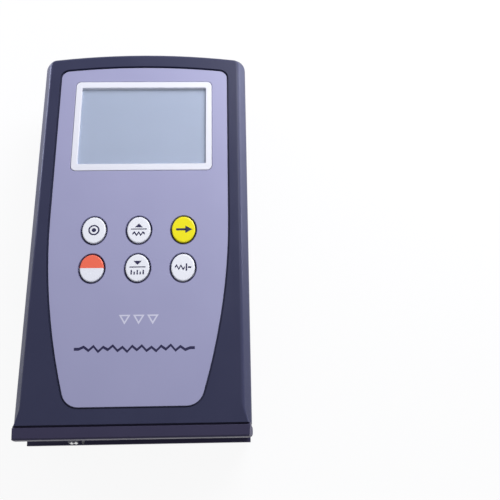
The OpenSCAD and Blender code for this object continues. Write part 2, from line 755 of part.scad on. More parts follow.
// Measuring base: front bar, open channel and rear rail under a neck and a plug that enter the housing
module base_cap() color("#2c2a3a") difference() {
    union() {
        intersection() {
            along_y([[bar_x1, z_channel1], [bar_x1, z_front - bar_end], [bar_x1 - bar_end, z_front],
                [bar_end - bar_x1, z_front], [-bar_x1, z_front - bar_end], [-bar_x1, z_channel1]],
                y_base, y_flange);
            translate([0, (y_base + y_flange) / 2, 0])
                slab(rounded(body_w + 2 * bar_out, base_h, min(bar_r, base_h / 2 - 0.05)), 0, z_front + 1);
            along_x([[y_base, z_channel1], [y_flange, z_channel1], [y_flange, z_front],
                [y_base + bar_chamfer, z_front], [y_base, z_front - bar_chamfer]], -body_w, body_w);
        }
        block([-rail_w / 2, y_base + channel_d, rail_back], [rail_w / 2, y_flange, z_channel1 + eps]);
        along_x([[y_base, z_channel0], [y_base, z_channel0 - rail_land], [y_base + rail_relief, rail_back],
            [y_flange, rail_back], [y_flange, z_channel0]], -rail_w / 2, rail_w / 2);
        along_y(end_view(seam_side, seam_depth), y_flange - eps, y_end);
        difference() {
            block([-plug_x, y_end - eps, plug_z0], [plug_x, y_end + plug_h, plug_z1]);
            block([plug_t - plug_x, y_end, plug_z0 + plug_t],
                [plug_x - plug_t, y_end + plug_h + 1, plug_z1 - plug_t]);
        }
    }
    block([slot_x0, y_base - 1, z_pick - slot_z], [slot_x1, y_end + 1, z_pick + slot_z]);
    for (s = [-1, 1]) {
        bar_y(base_screw_d + 0.4, y_base - 1, y_end + 1, s * base_screw_x, base_screw_z);
        bar_y(base_head_d + 0.4, y_base - 1, base_seat, s * base_screw_x, base_screw_z);
    }
}

module base_screws() color("#77777c") for (s = [-1, 1])
    translate([s * base_screw_x, base_seat, base_screw_z]) rotate([-90, 0, 0])
        screw(base_screw_d, y_end - base_seat + 0.7 * base_boss_len, base_head_d, base_head_h);

// Bent bracket of the traverse: two end plates, a back and a foot
module drive_chassis() color("#b9bcc0") difference() {
    union() {
        block([-chassis_x, chassis_y0, foot_z], [-plate_x, chassis_y1 + sheet_t, car_z1]);
        block([plate_x, chassis_y0, z_motor - motor_flat / 2 - 0.3],
            [chassis_x, chassis_y1 + sheet_t, car_z1]);
        block([-chassis_x, chassis_y1, car_z0], [chassis_x, chassis_y1 + sheet_t, car_z1]);
        block([-chassis_x, foot_y0, foot_z], [foot_x1, chassis_y1 + sheet_t, foot_z + sheet_t]);
        block([-chassis_x, chassis_y1, foot_z], [foot_x1, chassis_y1 + sheet_t, car_z1]);
    }
    for (p = rod_points)
        bar_x(rod_d + seat, -chassis_x - 1, chassis_x + 1, p[0], p[1]);
    bar_x(bush_d + seat, -chassis_x - 1, chassis_x + 1, y_screw, z_screw);
    bar_x(2 * shaft_d + 0.8, plate_x - 1, chassis_x + 1, y_screw, z_motor);
    for (p = foot_points)
        translate([p[0], p[1], foot_z - 1]) cylinder(d = small_screw_d + 0.4, h = sheet_t + 2);
}

module chassis_screws() color("#b8b8ba") for (p = foot_points)
    translate([p[0], p[1], foot_z + sheet_t]) mirror([0, 0, 1])
        screw(small_screw_d, sheet_t + small_grip, small_head_d, small_head_h);

module guide_rods() color("#d6d8da") for (p = rod_points)
    bar_x(rod_d, -chassis_x, chassis_x, p[0], p[1]);

module bearing_bushes() color("#c79a4a") for (x = [-chassis_x, plate_x]) difference() {
    bar_x(bush_d, x, x + plate_t, y_screw, z_screw);
    bar_x(journal_d + 2 * run_gap, x - 1, x + plate_t + 1, y_screw, z_screw);
}

module lead_screw() color("#cfd1d4") {
    shoulder = plate_x - screw_play;
    bar_x(screw_d, -shoulder, shoulder, y_screw, z_screw);
    bar_x(journal_d, -chassis_x, gear_x0 + gear_w + 0.2, y_screw, z_screw);
}

// The wheel has a tooth, and the pinion a gap, on the line between their centres
module screw_gear() color("#e6e2d2") difference() {
    translate([gear_x0, y_screw, z_screw]) rotate([90, 0, 90]) rotate(270)
        linear_extrude(gear_w) polygon(wheel(gear_z));
    bar_x(journal_d + seat, gear_x0 - 1, gear_x0 + gear_w + 1, y_screw, z_screw);
}

module motor_pinion() color("#c79a4a") difference() {
    translate([gear_x0, y_screw, z_motor]) rotate([90, 0, 90]) rotate(90 + 180 / pinion_z)
        linear_extrude(gear_w) polygon(wheel(pinion_z));
    bar_x(shaft_d + seat, gear_x0 - 1, gear_x0 + gear_w + 1, y_screw, z_motor);
}

module drive_motor() color("#9a9da2") difference() {
    union() {
        intersection() {
            bar_x(motor_d, motor_x, plate_x, y_screw, z_motor);
            block([motor_x, y_screw - motor_d, z_motor - motor_flat / 2],
                [plate_x, y_screw + motor_d, z_motor + motor_flat / 2]);
        }
        bar_x(2 * shaft_d + 0.4, plate_x - eps, plate_x + 0.8, y_screw, z_motor);
        bar_x(motor_d * 0.4, motor_x - 1, motor_x + eps, y_screw, z_motor);
    }
    bar_x(shaft_d + 2 * run_gap, motor_x + 1, plate_x + 2, y_screw, z_motor);
}

module motor_shaft() color("#cfd1d4")
    bar_x(shaft_d, motor_x + 1.2, gear_x0 + gear_w + 0.2, y_screw, z_motor);

module home_switch() color("#26262a") {
    x1 = car_x0 - 0.3;
    y0 = y_screw + screw_d / 2 + 0.6;
    block([x1 - 6.7, y0, car_z0], [x1 - 0.8, chassis_y1, car_z0 + 5.5]);
    block([x1 - 1, y0 + 1, car_z0 + 2], [x1, y0 + 2.5, car_z0 + 3.5]);
}

// Carriage with the nut, two rod bores and the holder of the pickup
module pickup_carriage() color("#d9d6c8") difference() {
    union() {
        block([car_x0, car_y0, car_z0], [car_x1, car_y1, car_z1]);
        block([car_x0, hold_y, z_pick - hold_z], [car_x1, car_y0 + eps, z_pick + hold_z]);
    }
    for (p = rod_points)
        bar_x(rod_d + 2 * run_gap, car_x0 - 1, car_x1 + 1, p[0], p[1]);
    bar_x(screw_d + 2 * run_gap, car_x0 - 1, car_x1 + 1, y_screw, z_screw);
    bar_x(tube_d + seat, car_x0 - 1, car_x1 + 1, y_pick, z_pick);
}

module pickup_tube() color("#c8cacf") difference() {
    bar_x(tube_d, tube_x0, car_x1, y_pick, z_pick);
    bar_x(tube_bore, tube_x0 + 1, car_x1 + 1, y_pick, z_pick);
    bar_y(3 * shank_d, y_pick - tube_d, y_pick, stylus_x, z_pick);
    translate([pivot_x, y_pick, z_pick - tube_d]) cylinder(d = pivot_d + seat, h = 2 * tube_d);
}

// Skid under the nose of the pickup, with two rounded lobes
module pickup_skid() color("#d2d4d8") difference() {
    union() {
        block([skid_x0, y_skid + lobe_w, z_pick - skid_depth / 2],
            [skid_x1, y_pick - 0.55 * tube_bore, z_pick + skid_depth / 2]);
        for (x = lobe_x) {
            block([x - lobe_w / 2, y_skid + lobe_w / 2, z_pick - skid_depth / 2],
                [x + lobe_w / 2, y_skid + lobe_w + eps, z_pick + skid_depth / 2]);
            translate([x, y_skid + lobe_w / 2, z_pick - skid_depth / 2]) cylinder(d = lobe_w, h = skid_depth);
        }
    }
    bar_x(tube_d + seat, skid_x0 - 1, skid_x1 + 1, y_pick, z_pick);
}

module sensor_coils() color("#b0643a") difference() {
    bar_x(tube_bore - 0.1, pivot_x + 3, pivot_x + 9, y_pick, z_pick);
    bar_x(tube_bore * 0.6, pivot_x + 2, pivot_x + 10, y_pick, z_pick);
}

module pivot_pin() color("#d6d8da")
    translate([pivot_x, y_pick, z_pick - tube_d / 2]) cylinder(d = pivot_d, h = tube_d);

// Lever of the stylus: arm, hub on the pivot, and the shank that reaches into the channel
module stylus_arm() color("#c2c4c8") difference() {
    union() {
        bar_x(1.2, stylus_x - 0.9, pivot_x + 7, y_pick, z_pick);
        translate([pivot_x, y_pick, z_pick - 0.38 * tube_bore])
            cylinder(d = 3 * pivot_d, h = 0.76 * tube_bore);
        bar_y(shank_d, y_base + 0.4, y_pick, stylus_x, z_pick);
    }
    translate([pivot_x, y_pick, z_pick - tube_d]) cylinder(d = pivot_d + 2 * pivot_gap, h = 2 * tube_d);
}

module stylus_tip() color("#33343a")
    translate([stylus_x, y_base + 0.4, z_pick]) rotate([90, 0, 0])
        cylinder(d1 = shank_d, d2 = 0.08, h = stylus_out + 0.4);

front_cover();
overlay();
display_bezel();
display_window();
lcd_glass();
lcd_backlight();
key_calibrate();
key_up();
key_start();
key_power();
key_down();
key_cutoff();
main_board();
board_chips();
tact_switches();
board_screws();
rear_cover();
case_screws();
battery_door();
battery_springs();
battery_plates();
battery_cell_1();
battery_cell_2();
battery_cell_3();
battery_cell_4();
base_cap();
base_screws();
drive_chassis();
chassis_screws();
guide_rods();
bearing_bushes();
lead_screw();
screw_gear();
drive_motor();
motor_shaft();
motor_pinion();
home_switch();
pickup_carriage();
pickup_tube();
pickup_skid();
sensor_coils();
pivot_pin();
stylus_arm();
stylus_tip();
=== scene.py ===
from math import pi, radians

import bmesh
import bpy
from mathutils import Matrix, Vector


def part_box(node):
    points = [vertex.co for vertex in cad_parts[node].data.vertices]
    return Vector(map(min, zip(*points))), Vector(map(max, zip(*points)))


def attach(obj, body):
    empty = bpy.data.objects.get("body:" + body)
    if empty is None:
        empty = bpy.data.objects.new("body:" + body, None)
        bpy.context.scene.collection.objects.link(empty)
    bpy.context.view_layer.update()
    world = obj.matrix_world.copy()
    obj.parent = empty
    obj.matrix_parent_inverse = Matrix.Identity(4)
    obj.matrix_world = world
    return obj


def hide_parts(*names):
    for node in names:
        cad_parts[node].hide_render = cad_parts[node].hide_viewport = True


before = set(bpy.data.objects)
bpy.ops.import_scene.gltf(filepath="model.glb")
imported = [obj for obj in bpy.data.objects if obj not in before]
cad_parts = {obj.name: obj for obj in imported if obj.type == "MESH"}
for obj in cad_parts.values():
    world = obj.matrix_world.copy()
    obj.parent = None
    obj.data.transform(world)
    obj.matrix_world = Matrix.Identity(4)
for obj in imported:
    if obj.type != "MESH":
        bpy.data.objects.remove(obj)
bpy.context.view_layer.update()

# Viewpoint: the tester lies on its back and is seen from above its measuring base,
# a little to the right, from about 27 cm. It fills the left half of a square picture.
mm = 0.001
eye_mm = (30.7, -91.55, 257.1)
up = Vector((0.00999, 0.93857, 0.34494)).normalized()
back = Vector((0.9995, -0.01977, 0.02486)).cross(up).normalized()
right = up.cross(back)
camera = bpy.data.objects.new("camera", bpy.data.cameras.new("camera"))
bpy.context.scene.collection.objects.link(camera)
camera.data.sensor_width = 36
camera.data.lens = 50.4
camera.data.clip_start = 0.01
camera.matrix_world = Matrix((
    (right.x, up.x, back.x, eye_mm[0] * mm),
    (right.y, up.y, back.y, eye_mm[1] * mm),
    (right.z, up.z, back.z, eye_mm[2] * mm),
    (0, 0, 0, 1)))
bpy.context.scene.camera = camera
bpy.context.scene.view_settings.view_transform = 'Standard'


# Table: a seamless white sheet that the tester lies on. It shows white to the eye and in
# reflections, and keeps a soft shadow round the housing.
def linear(code):
    parts = [int(code[i:i + 2], 16) / 255 for i in (1, 3, 5)]
    return [c / 12.92 if c <= 0.04045 else ((c + 0.055) / 1.055) ** 2.4 for c in parts] + [1.0]


def add(tree, kind, wires, **settings):
    node = tree.nodes.new(kind)
    for key, value in settings.items():
        setattr(node, key, value)
    for key, value in wires.items():
        if isinstance(value, bpy.types.NodeSocket):
            tree.links.new(value, node.inputs[key])
        else:
            node.inputs[key].default_value = value
    return node


def blank(name):
    made = bpy.data.materials.new(name)
    made.use_nodes = True
    made.node_tree.nodes.clear()
    return made, made.node_tree


def piece_from(bm, name):
    mesh = bpy.data.meshes.new(name)
    bm.to_mesh(mesh)
    bm.free()
    piece = bpy.data.objects.new(name, mesh)
    bpy.context.scene.collection.objects.link(piece)
    return piece


# Matt paper: even and white, lifted towards pure white where the eye or a reflection meets it.
paper_lift = 0.92
paper, tree = blank("matt_white_paper")
rays = add(tree, 'ShaderNodeLightPath', {})
seen = add(tree, 'ShaderNodeMath', {
    0: rays.outputs['Is Camera Ray'], 1: rays.outputs['Is Glossy Ray']}, operation='MAXIMUM')
seen = add(tree, 'ShaderNodeMath', {
    0: seen.outputs[0], 1: rays.outputs['Is Transmission Ray']}, operation='MAXIMUM')
sheet = add(tree, 'ShaderNodeBsdfDiffuse', {'Color': linear("#eeeef0")})
glow = add(tree, 'ShaderNodeEmission', {'Color': linear("#ffffff"), 'Strength': 1.0})
lift = add(tree, 'ShaderNodeMath', {0: seen.outputs[0], 1: paper_lift}, operation='MULTIPLY')
shown = add(tree, 'ShaderNodeMixShader', {0: lift.outputs[0], 1: sheet.outputs[0], 2: glow.outputs[0]})
add(tree, 'ShaderNodeOutputMaterial', {'Surface': shown.outputs[0]})

table_half = 3.0
bm = bmesh.new()
bmesh.ops.create_grid(bm, x_segments=1, y_segments=1, size=table_half)
table = piece_from(bm, "table")
table.data.materials.append(paper)

# Light: a white room that is brighter round the table than overhead, one soft lamp beyond
# the display end that gives the face its fall-off, and a low one at each side for the bevels.
room_low, room_high = 0.55, 0.35
world = bpy.data.worlds.new("white_room")
bpy.context.scene.world = world
world.use_nodes = True
tree = world.node_tree
tree.nodes.clear()
ray = add(tree, 'ShaderNodeTexCoord', {})
ray = add(tree, 'ShaderNodeSeparateXYZ', {'Vector': ray.outputs['Generated']})
level = add(tree, 'ShaderNodeMapRange', {'Value': ray.outputs['Z'], 'To Min': room_low, 'To Max': room_high})
sky = add(tree, 'ShaderNodeBackground', {'Color': linear("#f6f7ff"), 'Strength': level.outputs[0]})
add(tree, 'ShaderNodeOutputWorld', {'Surface': sky.outputs[0]})

lit_spot = Vector((0, 0.02, 0.03))
for name, place, wide, tall, energy, tint in (
        ("soft_lamp", (0.16, 0.24, 0.25), 0.24, 0.24, 1.32, "#f8f8ff"),
        ("right_lamp", (0.20, 0.12, 0.018), 0.16, 0.03, 0.38, "#e4e8ff"),
        ("left_lamp", (-0.18, 0.14, 0.018), 0.14, 0.03, 0.35, "#d8dcff")):
    lamp = bpy.data.objects.new(name, bpy.data.lights.new(name, 'AREA'))
    bpy.context.scene.collection.objects.link(lamp)
    lamp.data.shape = 'RECTANGLE'
    lamp.data.size = wide
    lamp.data.size_y = tall
    lamp.data.energy = energy
    lamp.data.color = linear(tint)[:3]
    lamp.location = place
    lamp.rotation_euler = (lit_spot - lamp.location).to_track_quat('-Z', 'Y').to_euler()


# Rear cover and battery door: the lower half of the housing and the lid that slides into it,
# injection moulded in the same dark blue-grey ABS, with eased edges and a fine parting line.
def grained(name, dark, light, rough, gloss_level, grain_mm, relief_mm):
    cloud_mm, sheen_swing = 16, 0.05
    made, tree = blank(name)
    at = add(tree, 'ShaderNodeTexCoord', {})
    cloud = add(tree, 'ShaderNodeTexNoise', {
        'Vector': at.outputs['Object'], 'Scale': 1 / (cloud_mm * mm), 'Detail': 3.0})
    grain = add(tree, 'ShaderNodeTexNoise', {
        'Vector': at.outputs['Object'], 'Scale': 1 / (grain_mm * mm), 'Detail': 2.0})
    tone = add(tree, 'ShaderNodeMix', {
        'Factor': cloud.outputs['Fac'], 6: linear(dark), 7: linear(light)}, data_type='RGBA')
    sheen = add(tree, 'ShaderNodeMapRange', {
        'Value': cloud.outputs['Fac'], 'From Min': 0.3, 'From Max': 0.7,
        'To Min': rough - sheen_swing, 'To Max': rough + sheen_swing})
    relief = add(tree, 'ShaderNodeBump', {
        'Height': grain.outputs['Fac'], 'Strength': 0.6, 'Distance': relief_mm * mm})
    skin = add(tree, 'ShaderNodeBsdfPrincipled', {
        'Base Color': tone.outputs[2], 'Roughness': sheen.outputs[0], 'Normal': relief.outputs[0],
        'IOR': 1.53, 'Specular IOR Level': gloss_level})
    add(tree, 'ShaderNodeOutputMaterial', {'Surface': skin.outputs[0]})
    return made


# A rim is a width in mm, a number of steps and a test of an edge by its middle.
# Only level edges that stand out are eased.
def eased(node, body, material, rims, sharp_deg=32, cuts=()):
    merged, cut_slack, level_slack = 0.002 * mm, 0.001 * mm, 0.01 * mm
    flat_deg, corner_deg = 0.5, 18
    bm = bmesh.new()
    bm.from_mesh(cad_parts[node].data)
    bmesh.ops.remove_doubles(bm, verts=bm.verts, dist=merged)
    bmesh.ops.dissolve_limit(bm, angle_limit=radians(flat_deg), verts=bm.verts, edges=bm.edges)
    for point, outward in cuts:
        bmesh.ops.bisect_plane(bm, geom=bm.verts[:] + bm.edges[:] + bm.faces[:], dist=cut_slack,
                               plane_co=point, plane_no=outward, clear_outer=True)
        bmesh.ops.holes_fill(bm, edges=[e for e in bm.edges if e.is_boundary], sides=0)
    for width_mm, steps, chosen in rims:
        edges = [e for e in bm.edges if e.is_manifold and e.is_convex
                 and e.calc_face_angle() > radians(corner_deg)
                 and abs(e.verts[0].co.z - e.verts[1].co.z) < level_slack
                 and chosen((e.verts[0].co + e.verts[1].co) / (2 * mm))]
        bmesh.ops.bevel(bm, geom=edges, offset=width_mm * mm, offset_type='OFFSET', segments=steps,
                        profile=0.5, affect='EDGES', material=-1, clamp_overlap=False)
    piece = piece_from(bm, node + "_moulding")
    piece.data.materials.append(material)
    piece.data.shade_smooth()
    piece.data.set_sharp_from_angle(angle=radians(sharp_deg))
    even = piece.modifiers.new("even_shading", 'WEIGHTED_NORMAL')
    even.keep_sharp = True
    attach(piece, body)
    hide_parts(node)


# Spark-eroded ABS: an even satin skin whose fine grain breaks up the reflections. Its grain, and
# that of the other plastics and inks, is drawn coarser than the real one so that it shows.
slate_abs = grained("moulded_abs_slate", "#383a52", "#3c3e57",
                    rough=0.36, gloss_level=0.15, grain_mm=0.5, relief_mm=0.012)
near, back_bevel = 0.05, 3
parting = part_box("front_cover")[0].z / mm
eased("rear_cover", "housing", slate_abs, [
    (0.25, 3, lambda p: p.z < near or abs(p.z - back_bevel) < near),
    (0.18, 3, lambda p: abs(p.z - parting) < near)])
door_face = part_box("battery_door")[0].z / mm
eased("battery_door", "door", slate_abs, [(0.15, 3, lambda p: p.z < door_face + near)])


# Case screws, the other fasteners and the can of the motor: zinc plated steel. The screws are
# cold headed and driven into the posts of the covers, the base and the chassis.
def metal(name, dark, light, rough, stretch):
    mark_mm, sheen_swing = 0.3, 0.06
    made, tree = blank(name)
    at = add(tree, 'ShaderNodeTexCoord', {})
    drawn = add(tree, 'ShaderNodeMapping', {'Vector': at.outputs['Object'], 'Scale': stretch})
    lines = add(tree, 'ShaderNodeTexNoise', {
        'Vector': drawn.outputs[0], 'Scale': 1 / (mark_mm * mm), 'Detail': 3.0})
    tone = add(tree, 'ShaderNodeMix', {
        'Factor': lines.outputs['Fac'], 6: linear(dark), 7: linear(light)}, data_type='RGBA')
    sheen = add(tree, 'ShaderNodeMapRange', {
        'Value': lines.outputs['Fac'], 'From Min': 0.3, 'From Max': 0.7,
        'To Min': rough - sheen_swing, 'To Max': rough + sheen_swing})
    relief = add(tree, 'ShaderNodeBump', {
        'Height': lines.outputs['Fac'], 'Strength': 0.3, 'Distance': 0.01 * mm})
    skin = add(tree, 'ShaderNodeBsdfPrincipled', {
        'Base Color': tone.outputs[2], 'Roughness': sheen.outputs[0], 'Normal': relief.outputs[0],
        'Metallic': 1.0})
    add(tree, 'ShaderNodeOutputMaterial', {'Surface': skin.outputs[0]})
    return made


def dress(material, *nodes):
    for node in nodes:
        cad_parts[node].data.materials.clear()
        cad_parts[node].data.materials.append(material)


# Zinc plate: a cool grey metal with a soft, uneven gloss. On this and the other metals
# the marks are drawn 0.3 mm apart, coarser than real ones, so that they show.
zinc = metal("zinc_plated_steel", "#8f9297", "#a9acb1", rough=0.34, stretch=(1, 1, 1))
dress(zinc, "case_screws", "base_screws", "board_screws", "chassis_screws", "drive_motor")

# Battery bay: four cells between contact springs and plates of pressed spring steel,
# in turn with the tip up and down.
# Nickel plate: a warm metal with a fairly bright gloss.
nickel = metal("nickel_plated_steel", "#b7b2a6", "#cfcabd", rough=0.26, stretch=(1, 1, 1))
dress(nickel, "battery_springs", "battery_plates")
# Printed sleeve: a glossy film shrunk on the can, dark with a bright band at the tip end.
band_len = 12 * mm
for count in range(4):
    node = "battery_cell_%d" % (count + 1)
    tip_up = count % 2 == 0
    low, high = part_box(node)
    edge = high.y - band_len if tip_up else low.y + band_len
    made, tree = blank("printed_sleeve_%d" % (count + 1))
    at = add(tree, 'ShaderNodeTexCoord', {})
    place = add(tree, 'ShaderNodeSeparateXYZ', {'Vector': at.outputs['Object']})
    band = add(tree, 'ShaderNodeMath', {0: place.outputs['Y'], 1: edge},
               operation='GREATER_THAN' if tip_up else 'LESS_THAN')
    wrap = add(tree, 'ShaderNodeTexNoise', {
        'Vector': at.outputs['Object'], 'Scale': 1 / (5 * mm), 'Detail': 2.0})
    tone = add(tree, 'ShaderNodeMix', {
        'Factor': band.outputs[0], 6: linear("#2f3238"), 7: linear("#b88a4a")}, data_type='RGBA')
    sheen = add(tree, 'ShaderNodeMapRange', {'Value': wrap.outputs['Fac'], 'To Min': 0.22, 'To Max': 0.34})
    skin = add(tree, 'ShaderNodeBsdfPrincipled', {
        'Base Color': tone.outputs[2], 'Roughness': sheen.outputs[0], 'IOR': 1.54, 'Metallic': 0.3})
    add(tree, 'ShaderNodeOutputMaterial', {'Surface': skin.outputs[0]})
    dress(made, node)

# Traverse drive: a pressed aluminium chassis with ground steel rods and bronze bushes,
# an acetal gear and carriage, a bronze pinion on the motor's shaft, and a limit switch.
# Rolled aluminium: pale, with fine lines along the sheet.
sheet_metal = metal("pressed_aluminium", "#b4b7bb", "#c6c9cd", rough=0.38, stretch=(0.1, 1, 1))
dress(sheet_metal, "drive_chassis")
# Ground steel: bright, with fine rings round the rod.
ground = metal("ground_steel", "#a7aaae", "#c3c6ca", rough=0.22, stretch=(1, 0.05, 0.05))
dress(ground, "guide_rods", "motor_shaft", "pivot_pin")
# Turned bronze: a warm yellow metal with turning marks round its axis.
bronze = metal("turned_bronze", "#a5762f", "#bf8f45", rough=0.3, stretch=(1, 0.1, 0.1))
dress(bronze, "bearing_bushes", "motor_pinion")
# Machined acetal: creamy white with a waxy sheen.
acetal = grained("machined_acetal", "#d6d1bf", "#dedac9",
                 rough=0.4, gloss_level=0.4, grain_mm=0.4, relief_mm=0.01)
dress(acetal, "screw_gear", "pickup_carriage")
# Moulded nylon: a dull, slightly rough black.
black_nylon = grained("moulded_nylon_black", "#232327", "#2a2a2e",
                      rough=0.5, gloss_level=0.4, grain_mm=0.4, relief_mm=0.01)
dress(black_nylon, "home_switch", "tact_switches", "board_chips")

# Lead screw: a steel rod with a rolled thread, which turns in the bushes and drives the carriage.
# Rolled thread: ridges round the rod, drawn 1 mm apart so that they show, with painted highlight on the
# ridges and painted shade in the grooves.
# At a scale of 1 a wave texture repeats every 2 pi / 20.
ridge_gap = 1.0 * mm
thread, tree = blank("rolled_thread_steel")
at = add(tree, 'ShaderNodeTexCoord', {})
ridges = add(tree, 'ShaderNodeTexWave', {
    'Vector': at.outputs['Object'], 'Scale': 2 * pi / (20 * ridge_gap)},
    wave_type='BANDS', bands_direction='X')
relief = add(tree, 'ShaderNodeBump', {
    'Height': ridges.outputs['Fac'], 'Strength': 0.8, 'Distance': 0.2 * mm})
# Painted light: the same wave colours the ridges lighter and the grooves darker, as painted highlight and
# painted shade.
tone = add(tree, 'ShaderNodeMix', {
    'Factor': ridges.outputs['Fac'], 6: linear("#85888d"), 7: linear("#c4c7cb")}, data_type='RGBA')
skin = add(tree, 'ShaderNodeBsdfPrincipled', {
    'Base Color': tone.outputs[2], 'Roughness': 0.28, 'Normal': relief.outputs[0], 'Metallic': 1.0})
add(tree, 'ShaderNodeOutputMaterial', {'Surface': skin.outputs[0]})
dress(thread, "lead_screw")

# Pickup: a ground steel tube with a skid under its nose, the wound coils of its sensor,
# and the stylus lever with its diamond tip, which hangs on a pin in the tube.
dress(ground, "pickup_tube")
# Satin nickel plate: pale and soft, with fine upright lines.
plated = metal("satin_nickel_plate", "#c9c9cd", "#dededf", rough=0.34, stretch=(1, 1, 0.1))
dress(plated, "pickup_skid", "stylus_arm")
# Enamelled wire: close turns of glossy reddish copper, drawn 0.2 mm apart so that they show, with painted
# highlight on each turn and painted shade between the turns.
turn_gap = 0.2 * mm
copper, tree = blank("enamelled_copper_winding")
at = add(tree, 'ShaderNodeTexCoord', {})
turns = add(tree, 'ShaderNodeTexWave', {
    'Vector': at.outputs['Object'], 'Scale': 2 * pi / (20 * turn_gap)},
    wave_type='BANDS', bands_direction='X')
relief = add(tree, 'ShaderNodeBump', {
    'Height': turns.outputs['Fac'], 'Strength': 0.8, 'Distance': 0.05 * mm})
# Painted light: the wave colours each turn lighter and the gaps between turns darker, as painted highlight
# and painted shade.
tone = add(tree, 'ShaderNodeMix', {
    'Factor': turns.outputs['Fac'], 6: linear("#6e3218"), 7: linear("#b4622f")}, data_type='RGBA')
skin = add(tree, 'ShaderNodeBsdfPrincipled', {
    'Base Color': tone.outputs[2], 'Roughness': 0.3, 'Normal': relief.outputs[0], 'Metallic': 0.9})
add(tree, 'ShaderNodeOutputMaterial', {'Surface': skin.outputs[0]})
dress(copper, "sensor_coils")
# Polished diamond: a dark, glinting point.
diamond = grained("polished_diamond", "#2c2d33", "#3a3b42",
                  rough=0.1, gloss_level=0.9, grain_mm=0.3, relief_mm=0.001)
dress(diamond, "stylus_tip")

# Measuring base: a bar, a channel and a rail in one moulding of tough dark nylon,
# screwed under the housing with a seam between. The ends of the bar slope in towards its face.
# Moulded nylon: dark aubergine, duller than the housing.
purple_nylon = grained("moulded_nylon_aubergine", "#3e3b52", "#423f57",
                       rough=0.42, gloss_level=0.12, grain_mm=0.5, relief_mm=0.012)
slope_w, slope_h, corner = 1.2 * mm, 4.0 * mm, 0.6 * mm
low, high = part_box("base_cap")
slopes = []
for side in (-1, 1):
    slopes.append(((side * (high.x - slope_w), 0, high.z), (side * slope_h, 0, slope_w)))
    slopes.append(((side * (high.x - slope_w - corner), low.y, high.z), (side * slope_h, -slope_h, slope_w)))
seam = low.y / mm + 3.8
eased("base_cap", "housing", purple_nylon, [(0.18, 3, lambda p: p.y < seam)], cuts=slopes)

# Circuit board and display: a laminate board screwed behind the front cover, with the light
# guide and the liquid crystal cell on it, and a clear window under the display frame.
# Solder mask: an even green gloss.
board = grained("solder_mask_green", "#175a38", "#1d6641",
                rough=0.32, gloss_level=0.5, grain_mm=1.2, relief_mm=0.01)
dress(board, "main_board")
# Opal acrylic: milky white and soft.
guide = grained("opal_acrylic", "#e6e6e0", "#eeeee8",
                rough=0.4, gloss_level=0.5, grain_mm=0.5, relief_mm=0.004)
dress(guide, "lcd_backlight")
# Blank display: grey-blue and matt, with the faint mottling of its polariser.
crystal = grained("liquid_crystal_cell", "#9fadc5", "#a5b3ca",
                  rough=0.4, gloss_level=0.4, grain_mm=0.5, relief_mm=0.002)
dress(crystal, "lcd_glass")
# Clear acrylic: only a thin gloss over what lies behind.
acrylic, tree = blank("clear_acrylic")
at = add(tree, 'ShaderNodeTexCoord', {})
haze = add(tree, 'ShaderNodeTexNoise', {'Vector': at.outputs['Object'], 'Scale': 1 / (8 * mm), 'Detail': 2.0})
sheen = add(tree, 'ShaderNodeMapRange', {'Value': haze.outputs['Fac'], 'To Min': 0.05, 'To Max': 0.12})
skin = add(tree, 'ShaderNodeBsdfPrincipled', {
    'Base Color': linear("#eef3f8"), 'Roughness': sheen.outputs[0], 'IOR': 1.49, 'Alpha': 0.1})
add(tree, 'ShaderNodeOutputMaterial', {'Surface': skin.outputs[0]})
frame_side, frame_band = 2.15 * mm, 2.55 * mm
low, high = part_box("display_bezel")
view_x = high.x - frame_side
view_y = (high.y - low.y) / 2 - frame_band
view_mid = (low.y + high.y) / 2
eased("display_window", "housing", acrylic, [], cuts=[
    ((view_x, 0, 0), (1, 0, 0)), ((-view_x, 0, 0), (-1, 0, 0)),
    ((0, view_mid + view_y, 0), (0, 1, 0)), ((0, view_mid - view_y, 0), (0, -1, 0))])

# Front cover: the upper half of the housing, moulded in the same ABS. Its face is bevelled
# all round but for the base end, and sunk for the face panel.
low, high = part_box("front_cover")
top, base_end = high.z / mm, low.y / mm + near
face_bevel, panel_side, panel_end = 4, 33, 65


def bevel_edge(p):
    outside_panel = abs(p.x) > panel_side or p.y > panel_end
    face_edge = p.z > top - near and outside_panel and p.y > base_end
    return face_edge or abs(p.z - top + face_bevel) < near


eased("front_cover", "housing", slate_abs, [
    (0.8, 5, bevel_edge),
    (0.2, 3, lambda p: p.z > top - near and p.y < base_end),
    (0.18, 3, lambda p: p.z < parting + near)])

# Face panel: a die-cut film stuck in the sunk face, with cut-outs for the display frame
# and the keys.
# Polyester film: an even lilac print under a satin coat.
film = grained("satin_polyester_film", "#a4a4c5", "#a8a8c9",
               rough=0.36, gloss_level=0.4, grain_mm=0.6, relief_mm=0.006)
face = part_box("overlay")[1].z / mm
eased("overlay", "housing", film, [(0.1, 3, lambda p: p.z > face - near)])


# Printed marks: a profile trace in dark ink and a row of light finish triangles,
# screen printed on the film as thin flat figures.
def stroke(bm, points, width):
    path = [bm.verts.new((x * mm, (y + width / 2) * mm, 0)) for x, y in points]
    lines = [bm.edges.new(pair) for pair in zip(path, path[1:])]
    grown = bmesh.ops.extrude_edge_only(bm, edges=lines)["geom"]
    lower = [v for v in grown if isinstance(v, bmesh.types.BMVert)]
    bmesh.ops.translate(bm, verts=lower, vec=(0, -width * mm, 0))


def bar(bm, x, y, width, height):
    size = Matrix.Diagonal((width, height, 1, 1))
    bmesh.ops.create_grid(bm, x_segments=1, y_segments=1, size=0.5 * mm,
                          matrix=Matrix.Translation((x * mm, y * mm, 0)) @ size)


